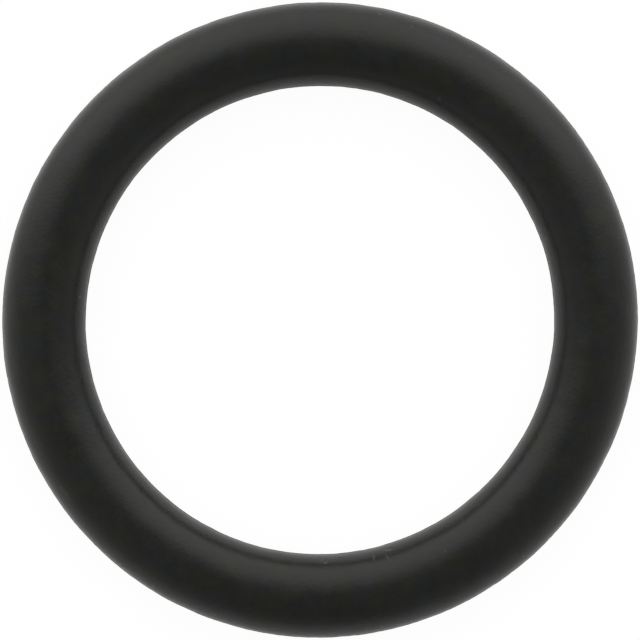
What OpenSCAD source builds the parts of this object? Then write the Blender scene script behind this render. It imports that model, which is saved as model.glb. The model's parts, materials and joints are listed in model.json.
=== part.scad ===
// A moulded rubber o-ring: one solid of round section, in millimetres.
// The origin is the centre of the ring, on the plane where the two mould halves met.
// +Z is the ring's axis, and the ring lies flat with its lowest line half a section below the origin.

/* [Ring] */
// Inside diameter of the ring, across the round section
inner_d = 17; // [4:0.5:120]
// Diameter of the round section
section_d = 3; // [1:0.1:8]

/* [Parting line] */
// How far the trimmed flash line stands proud of the round section, inside and outside
flash_h = 0.015; // [0.005:0.005:0.05]
// Width of the flash line across its flat crest
flash_w = 0.1; // [0.04:0.01:0.2]
// Lean of the flash line's flanks, 0 for square sides
flash_lean = 45; // [0:5:45]

/* [Hidden] */
// Radius of the section, and radius from the ring's axis to the section's middle
section_r = section_d / 2;
ring_r = inner_d / 2 + section_r;
// Steps of the round section and of the full turn
section_steps = 96;
turn_steps = 240;
// Satin black of carbon-filled rubber
rubber_colour = [0.11, 0.11, 0.11];

// The round section, in place beside the ring's axis
module round_section() {
    translate([ring_r, 0])
        circle(r = section_r, $fn = section_steps);
}

// The trimmed flash: one bar through the middle of the section, which leaves a low
// ridge on the bore side and one on the outer side. Each ridge has a flat crest and two
// leaning flanks. A flank's line runs from the crest to the round section and a little past it,
// so its root is buried in the rubber.
module flash_section() {
    crest = [section_r + flash_h, flash_w / 2];
    flank = [-cos(flash_lean), sin(flash_lean)];
    along = crest * flank;
    reach = -along - sqrt(along * along - crest * crest + section_r * section_r);
    root = crest + (reach + flash_h) * flank;
    translate([ring_r, 0])
        polygon([
            [-crest.x, -crest.y],
            [-root.x, -root.y],
            [root.x, -root.y],
            [crest.x, -crest.y],
            [crest.x, crest.y],
            [root.x, root.y],
            [-root.x, root.y],
            [-crest.x, crest.y]
        ]);
}

// The whole ring, one moulded piece
module o_ring() {
    color(rubber_colour)
        rotate_extrude($fn = turn_steps)
            union() {
                round_section();
                flash_section();
            }
}

o_ring();
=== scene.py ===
import json
from math import atan2, cos, exp, hypot, pi, radians, sin, sqrt

import bmesh
import bpy
from bpy.props import FloatProperty, FloatVectorProperty, IntProperty, PointerProperty
from bpy.types import Operator, Panel, PropertyGroup
from mathutils import Matrix, Vector, noise


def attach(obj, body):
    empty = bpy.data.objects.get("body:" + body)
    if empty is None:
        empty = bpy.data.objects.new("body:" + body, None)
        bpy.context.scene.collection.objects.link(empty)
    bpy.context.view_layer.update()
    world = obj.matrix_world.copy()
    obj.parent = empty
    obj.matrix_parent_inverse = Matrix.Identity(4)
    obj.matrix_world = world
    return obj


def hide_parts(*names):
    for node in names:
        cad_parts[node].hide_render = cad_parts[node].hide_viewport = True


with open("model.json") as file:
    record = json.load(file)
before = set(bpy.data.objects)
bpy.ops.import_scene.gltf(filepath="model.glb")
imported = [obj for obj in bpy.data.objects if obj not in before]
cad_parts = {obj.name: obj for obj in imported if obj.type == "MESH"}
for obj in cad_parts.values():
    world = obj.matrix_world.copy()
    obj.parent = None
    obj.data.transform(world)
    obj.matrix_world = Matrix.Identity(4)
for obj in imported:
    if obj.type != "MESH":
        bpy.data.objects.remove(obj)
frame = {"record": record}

bl_info = {
    "name": "Rubber O-Ring",
    "version": (1, 0, 0),
    "blender": (4, 5, 0),
    "location": "View3D > Sidebar > O-Ring",
    "description": "Builds a moulded rubber o-ring around its packed frame and lights it",
    "category": "Add Mesh",
}

# Sizes in the frame are in metres, and the record's mounts are in millimetres
MM = 0.001
NODE = "o_ring"
BODY = "root"
MOUNTS = {mount["name"]: mount["dims"] for mount in frame["record"]["mounts"]}
BORE_CREST = MOUNTS["bore"]["r_mm"] * MM
OUTER_CREST = MOUNTS["outside"]["r_mm"] * MM
CREST_WIDTH = MOUNTS["bore"]["length_mm"] * MM
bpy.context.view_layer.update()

# The photograph's frame, and the ring's outer edge in it, in pixels
PHOTO_WIDTH = 640
RING_EDGE = 317.7
FRAME_WIDTH = PHOTO_WIDTH * OUTER_CREST / RING_EDGE

# Pale specks on the upper face: direction from the ring's middle and distance from it,
# length, width and lean of the long side as seen from above, and strength. Millimetres and degrees.
DUST = (
    (271.3, 8.79, 0.17, 0.09, 10, 0.16),
    (270.4, 8.71, 0.20, 0.12, 20, 0.06),
    (282.8, 8.80, 0.24, 0.07, 90, 0.13),
    (286.3, 8.68, 0.34, 0.07, 0, 0.20),
    (285.9, 8.92, 0.30, 0.06, -54, 0.12),
    (281.3, 11.30, 0.11, 0.09, 0, 0.15),
    (174.6, 8.73, 0.12, 0.10, 60, 0.12),
    (250.3, 11.33, 0.10, 0.09, 0, 0.15),
    (238.0, 11.36, 0.12, 0.09, 30, 0.20),
    (79.0, 11.27, 0.12, 0.10, 0, 0.10),
    (61.7, 9.08, 0.17, 0.13, 40, 0.05),
    (19.8, 8.68, 0.12, 0.10, 0, 0.12),
    (280.3, 10.94, 0.12, 0.10, 0, 0.04),
    (72.6, 11.11, 0.12, 0.09, 0, 0.06),
    (298.4, 9.51, 0.13, 0.10, 20, 0.05),
    (278.5, 11.30, 0.11, 0.09, 0, 0.15),
    (310.7, 11.26, 0.12, 0.10, 45, 0.14),
    (214.0, 11.14, 0.75, 0.16, -56, 0.05),
)
# How far up or down the face a speck reaches, and how ragged the specks' edges are
SPECK_REACH = 0.5 * MM
RAG = 0.05 * MM
# Where a speck has faded out and where it is full, as shares of its half size
SPECK_FADE = (1.4, 0.3)
# Where the parting line's finish has faded out and where it is full, as shares of half its foot
FLASH_FADE = (1.25, 0.85)
# Ripples on the slow waves: how many times as short, and how deep, as a share
RIPPLE_RATE = 2.7
RIPPLE_SHARE = 0.5
# Short bites among the long ones: how many times as short, and how deep, as a share
BITE_RATE = 3.1
BITE_SHARE = 0.5
# How far the bites' noise is raised, so that the deepest reach their full depth
BITE_GAIN = 1.6
# Height of the nick above the plane of the parting line
NICK_HEIGHT = 0.1 * MM
# The level that noise keeps around
NOISE_MIDDLE = 0.5
# Where in its noise the tint is coolest and warmest
TINT_EDGE = (0.3, 0.7)
# How many finer layers the tone's noise has, and how much of its strength each keeps
CLOUD_DETAIL = 4
CLOUD_ROUGHNESS = 0.95
# Vertices closer than this are one
MERGE_DISTANCE = 0.0001 * MM
# Edges that bend more than this stay sharp
SHARP_ANGLE = radians(20)
# Sides of the square lamp overhead, and its height
LAMP_WIDTH = 1.2
LAMP_HEIGHT = 0.8
# A Mix node's sockets for colours: its factor, its two colours and its result
MIX_FACTOR = 0
MIX_FIRST = 6
MIX_SECOND = 7
MIX_RESULT = 2


class RingSizes(PropertyGroup):
    """Sizes of the moulded ring"""

    bore_crest: FloatProperty(
        name="Bore radius",
        description="Radius at the crest of the flash line inside the ring",
        default=BORE_CREST,
        unit="LENGTH",
        precision=6,
    )
    outer_crest: FloatProperty(
        name="Outer radius",
        description="Radius at the crest of the flash line around the ring",
        default=OUTER_CREST,
        unit="LENGTH",
        precision=6,
    )
    flash_height: FloatProperty(
        name="Flash height",
        description="How far the trimmed flash line stands proud of the round section",
        default=0.015 * MM,
        unit="LENGTH",
        precision=6,
    )
    flash_width: FloatProperty(
        name="Flash width",
        description="Width of the flash line across its flat crest",
        default=CREST_WIDTH,
        unit="LENGTH",
        precision=6,
    )
    flash_lean: FloatProperty(
        name="Flash lean",
        description="Lean of the flash line's flanks, 0 for square sides",
        default=radians(45),
        subtype="ANGLE",
    )
    arc_steps: IntProperty(
        name="Section steps",
        description="Faces over the upper half of the round section",
        default=48,
        min=8,
    )
    turn_steps: IntProperty(
        name="Turn steps",
        description="Faces along the full turn of the ring",
        default=800,
        min=16,
    )


class FreeShape(PropertyGroup):
    """How far the ring departs from a true one, as it came from the mould and lies free"""

    oval: FloatProperty(
        name="Out of round",
        description="How far the ring's centre line lies outside the true circle at its longer diameter",
        default=0.023 * MM,
        unit="LENGTH",
        precision=6,
    )
    oval_turn: FloatProperty(
        name="Longer diameter",
        description="Direction of the longer diameter",
        default=radians(40),
        subtype="ANGLE",
    )
    wave_depth: FloatProperty(
        name="Wave depth",
        description="Depth of the slow waves in the moulded face",
        default=0.012 * MM,
        unit="LENGTH",
        precision=6,
    )
    wave_length: FloatProperty(
        name="Wave length",
        description="Size of the slow waves in the moulded face",
        default=1.5 * MM,
        unit="LENGTH",
        precision=6,
    )
    trim_depth: FloatProperty(
        name="Trim depth",
        description="How deep the trimming has bitten into the crest of the flash line",
        default=0.008 * MM,
        unit="LENGTH",
        precision=6,
    )
    trim_length: FloatProperty(
        name="Trim length",
        description="Length of the bites along the flash line",
        default=0.5 * MM,
        unit="LENGTH",
        precision=6,
    )
    nick_turn: FloatProperty(
        name="Nick place",
        description="Direction of the small nick in the outer rim",
        default=radians(48.6),
        subtype="ANGLE",
    )
    nick_depth: FloatProperty(
        name="Nick depth",
        description="Depth of the small nick in the outer rim",
        default=0.012 * MM,
        unit="LENGTH",
        precision=6,
    )
    nick_size: FloatProperty(
        name="Nick size",
        description="Distance from the nick's middle at which its depth has fallen off",
        default=0.06 * MM,
        unit="LENGTH",
        precision=6,
    )


class RubberFinish(PropertyGroup):
    """Colour and finish of the rubber"""

    cool_colour: FloatVectorProperty(
        name="Cool black",
        description="Carbon-filled black rubber where it is coolest, as linear red, green and blue",
        default=(0.0111, 0.0129, 0.0130),
        subtype="COLOR",
        min=0,
        max=1,
    )
    warm_colour: FloatVectorProperty(
        name="Warm black",
        description="Carbon-filled black rubber where it is warmest, as linear red, green and blue",
        default=(0.0139, 0.0131, 0.0096),
        subtype="COLOR",
        min=0,
        max=1,
    )
    tint_size: FloatProperty(
        name="Tint size",
        description="Size of the patches that are cooler or warmer",
        default=0.7 * MM,
        unit="LENGTH",
        precision=6,
    )
    roughness: FloatProperty(
        name="Roughness",
        description="Roughness of the moulded satin face",
        default=0.3,
        min=0,
        max=1,
    )
    cloud_size: FloatProperty(
        name="Cloud size",
        description="Size of the largest patches in which tone and gloss change a little",
        default=0.8 * MM,
        unit="LENGTH",
        precision=6,
    )
    cloud_depth: FloatProperty(
        name="Cloud depth",
        description="Share by which the tone of the patches differs",
        default=1.0,
        min=0,
        max=1,
    )
    gloss_change: FloatProperty(
        name="Gloss change",
        description="Difference in roughness between the patches",
        default=0.12,
        min=0,
    )
    grain_size: FloatProperty(
        name="Grain size",
        description="Size of the fine grain that the mould left",
        default=0.13 * MM,
        unit="LENGTH",
        precision=6,
    )
    grain_depth: FloatProperty(
        name="Grain depth",
        description="Depth of the fine grain",
        default=0.008 * MM,
        unit="LENGTH",
        precision=7,
    )
    flash_colour: FloatVectorProperty(
        name="Flash colour",
        description="Trimmed rubber along the parting line",
        default=(0.012, 0.0122, 0.0112),
        subtype="COLOR",
        min=0,
        max=1,
    )
    flash_dullness: FloatProperty(
        name="Flash dullness",
        description="Roughness of the trimmed parting line over the moulded face's",
        default=0.4,
        min=0,
    )
    trim_grain_depth: FloatProperty(
        name="Trim grain depth",
        description="Depth of the grain that trimming left along the parting line",
        default=0.008 * MM,
        unit="LENGTH",
        precision=7,
    )
    dust_colour: FloatVectorProperty(
        name="Dust colour",
        description="Pale dust and lint",
        default=(0.33, 0.32, 0.3),
        subtype="COLOR",
        min=0,
        max=1,
    )
    dust_dullness: FloatProperty(
        name="Dust dullness",
        description="Roughness of a full speck of dust over the rubber's",
        default=0.6,
        min=0,
    )
    dust_height: FloatProperty(
        name="Dust height",
        description="Height of a full speck of dust",
        default=0.02 * MM,
        unit="LENGTH",
        precision=7,
    )
    dust_rag: FloatProperty(
        name="Dust raggedness",
        description="Size of the irregularities in a speck's edge",
        default=0.08 * MM,
        unit="LENGTH",
        precision=6,
    )
    bloom: FloatProperty(
        name="Bloom",
        description="Faint pale bloom, which shows where the face turns away",
        default=0.45,
        min=0,
        max=1,
    )
    bloom_roughness: FloatProperty(
        name="Bloom roughness",
        description="How far the bloom reaches in from the rims",
        default=0.3,
        min=0,
        max=1,
    )
    bloom_tint: FloatVectorProperty(
        name="Bloom tint",
        description="Tint of the bloom",
        default=(0.97, 1.0, 0.9),
        subtype="COLOR",
        min=0,
        max=1,
    )
    gloss_tint: FloatVectorProperty(
        name="Gloss tint",
        description="Tint of the satin face's reflections where it is seen squarely",
        default=(0.975, 1.0, 0.96),
        subtype="COLOR",
        min=0,
        max=1,
    )
    ior: FloatProperty(
        name="Index of refraction",
        description="Sets how bright the reflections on the rubber are",
        default=1.5,
        min=1,
        max=2,
    )


class StageSetup(PropertyGroup):
    """Floor, lamp, room and camera"""

    floor_size: FloatProperty(
        name="Floor size",
        description="Length of the floor's sides",
        default=4,
        unit="LENGTH",
    )
    floor_colour: FloatVectorProperty(
        name="Floor colour",
        description="Plain pale floor, as linear red, green and blue",
        default=(0.73, 0.73, 0.73),
        subtype="COLOR",
        min=0,
        max=1,
    )
    floor_roughness: FloatProperty(
        name="Floor roughness",
        description="Roughness of the satin floor",
        default=0.2,
        min=0,
        max=1,
    )
    floor_ior: FloatProperty(
        name="Floor gloss",
        description="Index of refraction of the floor, which sets how much it mirrors",
        default=2.6,
        min=1,
    )
    shadow_share: FloatProperty(
        name="Shadow strength",
        description="How much of the floor's light and shadow the camera sees, the rest is plain white",
        default=0.07,
        min=0,
        max=1,
    )
    white_level: FloatProperty(
        name="White level",
        description="Level of light on the floor at which the camera sees it as full white",
        default=0.7,
        min=0,
        max=1,
    )
    wall_radiance: FloatProperty(
        name="Bright wall",
        description="Brightness of the tall soft wall of light on the far side",
        default=0.84,
        min=0,
    )
    wall_edge: FloatVectorProperty(
        name="Wall's edges",
        description="Sine of the direction at which the bright wall starts, and at which it is full",
        default=(0.05, 0.74),
        size=2,
    )
    wall_fade: FloatVectorProperty(
        name="Wall's fade",
        description="Cosine of the height at which the bright wall has faded out, and at which it is full",
        default=(0.1, 0.85),
        size=2,
    )
    wall_turn: FloatProperty(
        name="Wall's turn",
        description="How far the bright wall is turned to the left",
        default=0.03,
        subtype="ANGLE",
    )
    side_radiance: FloatProperty(
        name="Side walls",
        description="Brightness of the dim walls on the left and right, over the room's own",
        default=0.175,
        min=0,
    )
    horizon_radiance: FloatProperty(
        name="Horizon",
        description="Brightness all round near the horizon, over the room's own",
        default=0.15,
        min=0,
    )
    horizon_depth: FloatProperty(
        name="Horizon's depth",
        description="How quickly the brightness near the horizon falls off upwards",
        default=8,
        min=1,
    )
    room_radiance: FloatProperty(
        name="Room",
        description="Brightness of the rest of the room",
        default=0.082,
        min=0,
    )
    overhead_level: FloatProperty(
        name="Overhead level",
        description="How bright the overhead lamp alone makes a white level face",
        default=0.4,
        min=0,
    )
    camera_height: FloatProperty(
        name="Camera height",
        description="Height of the camera above the ring's centre plane",
        default=0.4,
        unit="LENGTH",
    )
    frame_width: FloatProperty(
        name="Frame width",
        description="Width of the picture on the ring's centre plane",
        default=FRAME_WIDTH,
        unit="LENGTH",
        precision=6,
    )


class Graph:
    """Adds nodes to a node tree"""

    def __init__(self, tree):
        self.tree = tree
        tree.nodes.clear()

    def node(self, kind, settings=None, inputs=None, output=0):
        """A node of this kind, its settings first and then its sockets, as the wrapped output socket"""
        node = self.tree.nodes.new(kind)
        for name, value in (settings or {}).items():
            setattr(node, name, value)
        for name, value in (inputs or {}).items():
            socket = node.inputs[name]
            if isinstance(value, Value):
                self.tree.links.new(value.socket, socket)
            else:
                socket.default_value = value
        return Value(self, node.outputs[output]) if node.outputs else None

    def noise(self, place, size, detail=2, output="Fac", roughness=0.5):
        """Soft noise from 0 to 1 whose largest patches are about this size, with finer layers in them"""
        inputs = {"Vector": place, "Scale": 1 / size, "Detail": detail, "Roughness": roughness}
        return self.node("ShaderNodeTexNoise", None, inputs, output)

    def ramp(self, value, none, full):
        """0 where the value is none or beyond, 1 where it is full or beyond, and smooth between"""
        inputs = {"Value": value, "From Min": none, "From Max": full}
        return self.node("ShaderNodeMapRange", {"interpolation_type": "SMOOTHSTEP"}, inputs)

    def mix(self, factor, first, second):
        """A mix of two colours"""
        inputs = {MIX_FACTOR: factor, MIX_FIRST: first, MIX_SECOND: second}
        return self.node("ShaderNodeMix", {"data_type": "RGBA"}, inputs, MIX_RESULT)

    def parts(self, vector):
        """The vector's X, Y and Z as wrapped sockets"""
        first = self.node("ShaderNodeSeparateXYZ", None, {0: vector})
        return [Value(self, socket) for socket in first.socket.node.outputs]


class Value:
    """A node's output socket that Python's operators work on"""

    def __init__(self, graph, socket):
        self.graph = graph
        self.socket = socket

    def math(self, operation, first, second):
        return self.graph.node("ShaderNodeMath", {"operation": operation}, {0: first, 1: second})

    def __add__(self, other):
        return self.math("ADD", self, other)

    def __radd__(self, other):
        return self.math("ADD", other, self)

    def __sub__(self, other):
        return self.math("SUBTRACT", self, other)

    def __rsub__(self, other):
        return self.math("SUBTRACT", other, self)

    def __mul__(self, other):
        return self.math("MULTIPLY", self, other)

    def __rmul__(self, other):
        return self.math("MULTIPLY", other, self)

    def __truediv__(self, other):
        return self.math("DIVIDE", self, other)

    def __rtruediv__(self, other):
        return self.math("DIVIDE", other, self)

    def __pow__(self, other):
        return self.math("POWER", self, other)


def new_material(name):
    """An empty node material and its graph"""
    material = bpy.data.materials.new(name)
    material.use_nodes = True
    return material, Graph(material.node_tree)


def speck(graph, place, sizes, mark):
    """Mask of one pale speck on the upper face, in the shape that it has from above"""
    turn, radius, length, width, lean, strength = mark
    height = sqrt(section_radius(sizes) ** 2 - (radius * MM - section_middle(sizes)) ** 2)
    centre = (radius * MM * cos(radians(turn)), radius * MM * sin(radians(turn)), height)
    own = graph.node(
        "ShaderNodeMapping",
        {"vector_type": "TEXTURE"},
        {
            "Vector": place,
            "Location": centre,
            "Rotation": (0, 0, radians(lean)),
            "Scale": (length / 2 * MM, width / 2 * MM, SPECK_REACH),
        },
    )
    distance = graph.node("ShaderNodeVectorMath", {"operation": "LENGTH"}, {0: own}, output="Value")
    return graph.ramp(distance, *SPECK_FADE) * strength


def rubber_material(finish, sizes):
    """Satin black moulded rubber with a duller parting line and a few specks of pale dust"""
    material, graph = new_material("satin_black_rubber")
    place = graph.node("ShaderNodeTexCoord", output="Object")
    cloud = graph.noise(place, finish.cloud_size, CLOUD_DETAIL, roughness=CLOUD_ROUGHNESS)
    grain = graph.noise(place, finish.grain_size)
    height = graph.parts(place)[2]
    off_plane = graph.node("ShaderNodeMath", {"operation": "ABSOLUTE"}, {0: height})
    flash_edge = sizes.flash_width / 2 + sizes.flash_height
    flash = graph.ramp(off_plane, *(flash_edge * share for share in FLASH_FADE))

    ragged = graph.node(
        "ShaderNodeVectorMath",
        {"operation": "MULTIPLY_ADD"},
        {0: graph.noise(place, finish.dust_rag, output="Color"), 1: (RAG, RAG, RAG), 2: place},
    )
    centred = graph.node(
        "ShaderNodeVectorMath",
        {"operation": "SUBTRACT"},
        {0: ragged, 1: (RAG / 2, RAG / 2, RAG / 2)},
    )
    dust = speck(graph, centred, sizes, DUST[0])
    for mark in DUST[1:]:
        dust = dust + speck(graph, centred, sizes, mark)

    tint = graph.ramp(graph.noise(place, finish.tint_size), *TINT_EDGE)
    black = graph.mix(tint, (*finish.cool_colour, 1), (*finish.warm_colour, 1))
    uneven = cloud - NOISE_MIDDLE
    depth = uneven * finish.cloud_depth + 1
    tone = graph.node("ShaderNodeVectorMath", {"operation": "SCALE"}, {0: black, "Scale": depth})
    trimmed = graph.mix(flash, tone, (*finish.flash_colour, 1))
    dusty = graph.mix(dust, trimmed, (*finish.dust_colour, 1))
    moulded = finish.roughness + uneven * finish.gloss_change
    roughness = moulded + flash * finish.flash_dullness + dust * finish.dust_dullness
    trim_grain = flash * grain * finish.trim_grain_depth
    relief = grain * finish.grain_depth + trim_grain + dust * finish.dust_height
    bump = graph.node("ShaderNodeBump", None, {"Height": relief / MM, "Strength": 1.0, "Distance": MM})
    shader = graph.node(
        "ShaderNodeBsdfPrincipled",
        None,
        {
            "Base Color": dusty,
            "Roughness": roughness,
            "IOR": finish.ior,
            "Specular Tint": (*finish.gloss_tint, 1),
            "Sheen Weight": finish.bloom,
            "Sheen Roughness": finish.bloom_roughness,
            "Sheen Tint": (*finish.bloom_tint, 1),
            "Normal": bump,
        },
    )
    graph.node("ShaderNodeOutputMaterial", None, {"Surface": shader})
    return material


def half_section(bm, sizes):
    """The upper half of the ring's section as a line of vertices, from the outer crest to the bore's"""
    middle = Vector((section_middle(sizes), 0, 0))
    section_r = section_radius(sizes)
    crest_r = section_r + sizes.flash_height
    crest = Vector((crest_r, 0, sizes.flash_width / 2))
    flank = Vector((-cos(sizes.flash_lean), 0, sin(sizes.flash_lean)))
    along = crest.dot(flank)
    root = crest + flank * (-along - sqrt(along ** 2 - crest.dot(crest) + section_r ** 2))
    root_angle = atan2(root.z, root.x)
    across = Vector((-1, 1, 1))
    start = bm.verts.new(middle + Vector((crest_r, 0, 0)))
    corner = drawn_on(bm, start, middle + crest)
    foot = drawn_on(bm, corner, middle + root)
    arc = bmesh.ops.spin(
        bm,
        geom=[foot],
        cent=middle,
        axis=(0, -1, 0),
        angle=pi - 2 * root_angle,
        steps=sizes.arc_steps,
        use_merge=False,
    )
    foot = arc["geom_last"][0]
    corner = drawn_on(bm, foot, middle + crest * across)
    drawn_on(bm, corner, middle - Vector((crest_r, 0, 0)))


def drawn_on(bm, vertex, place):
    """Extrudes one vertex to a new place and returns the new one"""
    new = bmesh.ops.extrude_vert_indiv(bm, verts=[vertex])["verts"][0]
    new.co = place
    return new


def closed_ring(sizes):
    """The whole ring as a closed bmesh"""
    bm = bmesh.new()
    half_section(bm, sizes)
    bmesh.ops.spin(
        bm,
        geom=bm.verts[:] + bm.edges[:],
        cent=(0, 0, 0),
        axis=(0, 0, 1),
        angle=2 * pi,
        steps=sizes.turn_steps,
        use_merge=True,
    )
    bmesh.ops.mirror(
        bm,
        geom=bm.verts[:] + bm.edges[:] + bm.faces[:],
        matrix=Matrix.Identity(4),
        merge_dist=MERGE_DISTANCE,
        axis="Z",
    )
    bmesh.ops.remove_doubles(bm, verts=bm.verts, dist=MERGE_DISTANCE)
    bmesh.ops.recalc_face_normals(bm, faces=bm.faces)
    return bm


def section_middle(sizes):
    """Radius of the circle through the middle of the section"""
    return (sizes.outer_crest + sizes.bore_crest) / 2


def section_radius(sizes):
    """Radius of the round section, without the flash line"""
    return (sizes.outer_crest - sizes.bore_crest) / 2 - sizes.flash_height


def loosen(bm, sizes, free):
    """Moves the true ring's vertices to where the moulded and trimmed rubber has them"""
    middle_r = section_middle(sizes)
    flash_r = section_radius(sizes) + sizes.flash_height / 2
    nick_out = Vector((cos(free.nick_turn), sin(free.nick_turn), 0))
    nick = nick_out * sizes.outer_crest + Vector((0, 0, NICK_HEIGHT))
    for vert in bm.verts:
        place = vert.co.copy()
        turn = atan2(place.y, place.x)
        outward = Vector((cos(turn), sin(turn), 0))
        from_middle = place - outward * middle_r
        away = from_middle.normalized()
        ripple = noise.noise(place / free.wave_length * RIPPLE_RATE + outward)
        wave = noise.noise(place / free.wave_length) + ripple * RIPPLE_SHARE
        shift = away * wave * free.wave_depth
        if from_middle.length > flash_r:
            along = place / free.trim_length
            bite = noise.noise(along) + noise.noise(along * BITE_RATE) * BITE_SHARE
            shift -= away * free.trim_depth * min(1, abs(bite) * BITE_GAIN)
        near = (place - nick).length / free.nick_size
        shift -= nick_out * free.nick_depth * exp(-near * near)
        shift += outward * free.oval * cos(2 * (turn - free.oval_turn))
        vert.co = place + shift


def piece_from(bm, name, material):
    """Writes a bmesh to a new smooth object at the origin, with one material"""
    for face in bm.faces:
        face.smooth = True
    for edge in bm.edges:
        edge.smooth = edge.calc_face_angle(0) < SHARP_ANGLE
    mesh = bpy.data.meshes.new(name)
    bm.to_mesh(mesh)
    bm.free()
    mesh.materials.append(material)
    piece = bpy.data.objects.new(name, mesh)
    bpy.context.scene.collection.objects.link(piece)
    return piece


class ORING_OT_ring(Operator):
    """Builds the moulded ring in place of its plain solid"""

    bl_idname = "oring.ring"
    bl_label = "Build ring"
    bl_options = {"REGISTER", "UNDO"}

    def execute(self, context):
        scene = context.scene
        bm = closed_ring(scene.ring_sizes)
        loosen(bm, scene.ring_sizes, scene.free_shape)
        ring = piece_from(bm, "moulded_ring", rubber_material(scene.rubber_finish, scene.ring_sizes))
        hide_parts(NODE)
        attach(ring, BODY)
        return {"FINISHED"}


def lamp_share(width, height):
    """Light of a square lamp on a level face straight below it, as a share of an even sky's"""
    side = width / 2
    slant = hypot(side, height)
    return 4 / pi * side / slant * atan2(side, slant)


def white_to_camera(graph, plain, white):
    """The plain shader for light, and the white one for camera rays"""
    camera = graph.node("ShaderNodeLightPath", output="Is Camera Ray")
    return graph.node("ShaderNodeMixShader", None, {"Fac": camera, 1: plain, 2: white})


def floor_material(stage):
    """Pale satin floor, which the camera sees as white with a faint shadow"""
    material, graph = new_material("pale_floor")
    satin = graph.node(
        "ShaderNodeBsdfPrincipled",
        None,
        {"Base Color": (*stage.floor_colour, 1), "Roughness": stage.floor_roughness, "IOR": stage.floor_ior},
    )
    share = stage.shadow_share
    rest = 1 - share * stage.white_level
    shaded = graph.node("ShaderNodeBsdfDiffuse", None, {"Color": (share, share, share, 1)})
    white = graph.node("ShaderNodeEmission", None, {"Color": (1, 1, 1, 1), "Strength": rest})
    seen = graph.node("ShaderNodeAddShader", None, {0: shaded, 1: white})
    graph.node("ShaderNodeOutputMaterial", None, {"Surface": white_to_camera(graph, satin, seen)})
    return material


class ORING_OT_stage(Operator):
    """Makes the pale floor, the soft lamp, the room and the camera"""

    bl_idname = "oring.stage"
    bl_label = "Make stage"
    bl_options = {"REGISTER", "UNDO"}

    def execute(self, context):
        stage = context.scene.stage_setup
        self.make_floor(context, stage)
        self.make_lamp(context, stage)
        self.make_room(context, stage)
        self.make_camera(context, stage)
        context.scene.view_settings.view_transform = "Standard"
        return {"FINISHED"}

    def make_floor(self, context, stage):
        bm = bmesh.new()
        bmesh.ops.create_grid(bm, x_segments=1, y_segments=1, size=stage.floor_size / 2)
        bmesh.ops.translate(bm, vec=(0, 0, -section_radius(context.scene.ring_sizes)), verts=bm.verts)
        piece_from(bm, "pale_floor", floor_material(stage))

    def make_lamp(self, context, stage):
        """One soft square lamp overhead, which the camera and reflections don't show"""
        radiance = stage.overhead_level / lamp_share(LAMP_WIDTH, LAMP_HEIGHT)
        data = bpy.data.lights.new("overhead", "AREA")
        data.size = LAMP_WIDTH
        data.energy = radiance * pi * LAMP_WIDTH ** 2
        overhead = bpy.data.objects.new("overhead", data)
        context.scene.collection.objects.link(overhead)
        overhead.location = (0, 0, LAMP_HEIGHT)
        overhead.visible_camera = False
        overhead.visible_glossy = False

    def make_room(self, context, stage):
        """A soft room: dim all round, with a bright wall on the far side that fades upwards"""
        world = bpy.data.worlds.new("soft_room")
        context.scene.world = world
        world.use_nodes = True
        graph = Graph(world.node_tree)
        outwards = graph.node("ShaderNodeTexCoord", output="Generated")
        turned = graph.node(
            "ShaderNodeMapping",
            {"vector_type": "POINT"},
            {"Vector": outwards, "Rotation": (0, 0, -stage.wall_turn)},
        )
        side, far = graph.parts(turned)[:2]
        level = (side * side + far * far) ** 0.5
        first, full = stage.wall_edge
        wall = graph.ramp(far / level, first, full)
        fade = graph.ramp(level, *stage.wall_fade)
        across = (side * side) ** 0.5
        walls = wall * fade * stage.wall_radiance + across * stage.side_radiance
        glow = walls + level ** stage.horizon_depth * stage.horizon_radiance + stage.room_radiance
        room = graph.node("ShaderNodeBackground", None, {"Color": (1, 1, 1, 1), "Strength": glow})
        white = graph.node("ShaderNodeBackground", None, {"Color": (1, 1, 1, 1)})
        graph.node("ShaderNodeOutputWorld", None, {"Surface": white_to_camera(graph, room, white)})

    def make_camera(self, context, stage):
        data = bpy.data.cameras.new("camera")
        data.lens = data.sensor_width * stage.camera_height / stage.frame_width
        camera = bpy.data.objects.new("camera", data)
        context.scene.collection.objects.link(camera)
        camera.location = (0, 0, stage.camera_height)
        context.scene.camera = camera


class ORING_PT_panel(Panel):
    """Lists the o-ring's steps and sizes"""

    bl_label = "O-Ring"
    bl_idname = "ORING_PT_panel"
    bl_space_type = "VIEW_3D"
    bl_region_type = "UI"
    bl_category = "O-Ring"

    def draw(self, context):
        layout = self.layout
        for step in STEPS:
            layout.operator(step.bl_idname)
        for group in (getattr(context.scene, name) for name in GROUPS):
            box = layout.box()
            for name in group.__annotations__:
                box.prop(group, name)


STEPS = (ORING_OT_ring, ORING_OT_stage)
GROUPS = {
    "ring_sizes": RingSizes,
    "free_shape": FreeShape,
    "rubber_finish": RubberFinish,
    "stage_setup": StageSetup,
}
CLASSES = (*GROUPS.values(), *STEPS, ORING_PT_panel)


def register():
    for cls in CLASSES:
        bpy.utils.register_class(cls)
    for name, group in GROUPS.items():
        setattr(bpy.types.Scene, name, PointerProperty(type=group))


def unregister():
    for name in GROUPS:
        delattr(bpy.types.Scene, name)
    for cls in reversed(CLASSES):
        bpy.utils.unregister_class(cls)


def main():
    register()
    bpy.ops.oring.ring()
    bpy.ops.oring.stage()


if __name__ == "__main__":
    main()
